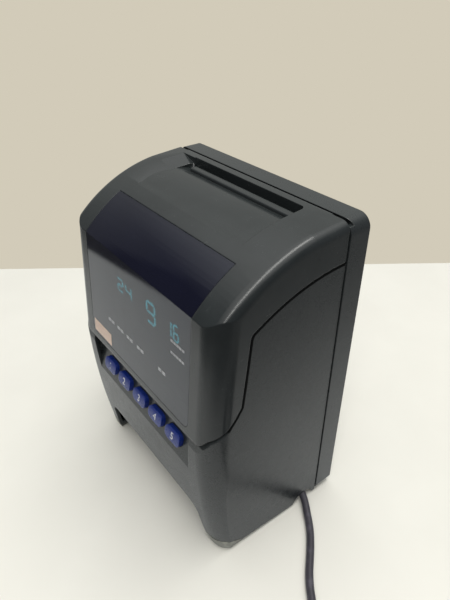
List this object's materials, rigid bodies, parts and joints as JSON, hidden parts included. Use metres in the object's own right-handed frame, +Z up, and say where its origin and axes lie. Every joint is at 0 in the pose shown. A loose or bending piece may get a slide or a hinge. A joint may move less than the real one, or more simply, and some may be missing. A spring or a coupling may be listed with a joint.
{
  "type": "time clock",
  "caption": "Desk time clock with card slot in a sloped hinged hood, smoked display window, a row of keys, card feed, printing carriage and coiled mains lead",
  "frame": {"origin": "on the table plane, under the middle of the case's bounding box, the free lead left out", "axes": "+X to the right of someone facing the front, +Y from the front to the rear, +Z up"},
  "size_m": [0.3391, 0.1314, 0.216],
  "materials": {
    "case_grey": "fine-grained moulded grey",
    "hood_grey": "fine-grained moulded grey",
    "rear_grey": "fine-grained moulded grey",
    "smoked_window": "polished, smoked navy",
    "key_blue": "satin deep blue",
    "black_plastic": "moulded black",
    "zinc_sheet": "zinc-plated sheet",
    "steel": "ground steel",
    "bronze": "sintered bronze",
    "brass": "brass",
    "rubber": "soft black rubber",
    "grey_rubber": "grey rubber",
    "pcb": "green solder mask",
    "display_glass": "dark display glass",
    "acetal": "natural acetal",
    "motor_can": "plated motor can",
    "laminations": "lacquered laminations",
    "ribbon": "inked ribbon",
    "battery_wrap": "blue shrink wrap",
    "cord_grey": "grey jacket"
  },
  "bodies": {
    "case": {"rear_case": "rear_grey", "lower_case": "case_grey", "base_plate": "black_plastic", "case_screws": "steel", "base_screws": "steel", "rubber_feet": "rubber", "hinge_pins": "steel", "key_board": "pcb", "key_switches": "black_plastic", "front_frame": "black_plastic", "display_board": "pcb", "display_tube": "display_glass", "chassis": "zinc_sheet", "card_guide_front": "zinc_sheet", "card_guide_rear": "zinc_sheet", "platen": "rubber", "shaft_bushes": "bronze", "feed_motor": "motor_can", "guide_rod": "steel", "carriage_motor": "motor_can", "ribbon_cassette": "black_plastic", "ink_ribbon": "ribbon", "main_board": "pcb", "transformer": "laminations", "backup_battery": "battery_wrap", "buzzer": "black_plastic", "card_sensor": "black_plastic", "strain_relief": "rubber", "cord": "cord_grey", "cord_coil": "cord_grey", "cord_tie": "black_plastic", "plug_body": "rubber", "plug_pins": "brass"},
    "hood_body": {"hood": "hood_grey", "window": "smoked_window"},
    "feed_body": {"feed_shaft": "steel", "feed_rollers": "rubber", "feed_gear": "acetal"},
    "pinion_body": {"feed_pinion": "brass"},
    "pinch_body": {"pinch_shaft": "steel", "pinch_rollers": "grey_rubber"},
    "carriage_body": {"carriage": "black_plastic", "print_head": "motor_can"},
    "screw_body": {"lead_screw": "steel"},
    "knob_body": {"ribbon_knob": "key_blue"},
    "key_1_body": {"key_1": "key_blue"},
    "key_2_body": {"key_2": "key_blue"},
    "key_3_body": {"key_3": "key_blue"},
    "key_4_body": {"key_4": "key_blue"},
    "key_5_body": {"key_5": "key_blue"}
  },
  "joints": [
    {"name": "hood_hinge", "type": "hinge", "parent": "case", "child": "hood_body", "pos_m": [0, 0.0385, 0.213], "axis": [-1, 0, 0], "range_deg": [0, 58]},
    {"name": "key_1_press", "type": "slide", "parent": "case", "child": "key_1_body", "axis": [0, 0.9659, -0.2588], "range_m": [0, 0.0012], "stiffness_N_per_m": 400},
    {"name": "key_2_press", "type": "slide", "parent": "case", "child": "key_2_body", "axis": [0, 0.9659, -0.2588], "range_m": [0, 0.0012], "stiffness_N_per_m": 400},
    {"name": "key_3_press", "type": "slide", "parent": "case", "child": "key_3_body", "axis": [0, 0.9659, -0.2588], "range_m": [0, 0.0012], "stiffness_N_per_m": 400},
    {"name": "key_4_press", "type": "slide", "parent": "case", "child": "key_4_body", "axis": [0, 0.9659, -0.2588], "range_m": [0, 0.0012], "stiffness_N_per_m": 400},
    {"name": "key_5_press", "type": "slide", "parent": "case", "child": "key_5_body", "axis": [0, 0.9659, -0.2588], "range_m": [0, 0.0012], "stiffness_N_per_m": 400},
    {"name": "feed_spin", "type": "hinge", "parent": "case", "child": "feed_body", "pos_m": [0, 0.022, 0.118], "axis": [1, 0, 0], "continuous": true},
    {"name": "pinion_spin", "type": "hinge", "parent": "case", "child": "pinion_body", "pos_m": [0.056, 0.00858, 0.10789], "axis": [1, 0, 0], "continuous": true},
    {"name": "pinch_spin", "type": "hinge", "parent": "case", "child": "pinch_body", "pos_m": [0, 0.0363, 0.118], "axis": [1, 0, 0], "continuous": true},
    {"name": "carriage_slide", "type": "slide", "parent": "case", "child": "carriage_body", "axis": [1, 0, 0], "range_m": [-0.024, 0.024]},
    {"name": "screw_spin", "type": "hinge", "parent": "case", "child": "screw_body", "pos_m": [0, 0.006, 0.146], "axis": [1, 0, 0], "range_deg": [-722, 722]},
    {"name": "knob_spin", "type": "hinge", "parent": "case", "child": "knob_body", "pos_m": [-0.028, 0.006, 0.19], "axis": [0, 0, 1], "continuous": true}
  ],
  "couplings": [
    {"joint": "pinion_spin", "follows": "feed_spin", "ratio": -2.5},
    {"joint": "pinch_spin", "follows": "feed_spin", "ratio": -2.0444},
    {"joint": "screw_spin", "follows": "carriage_slide", "rad_per_m": 523.6}
  ]
}
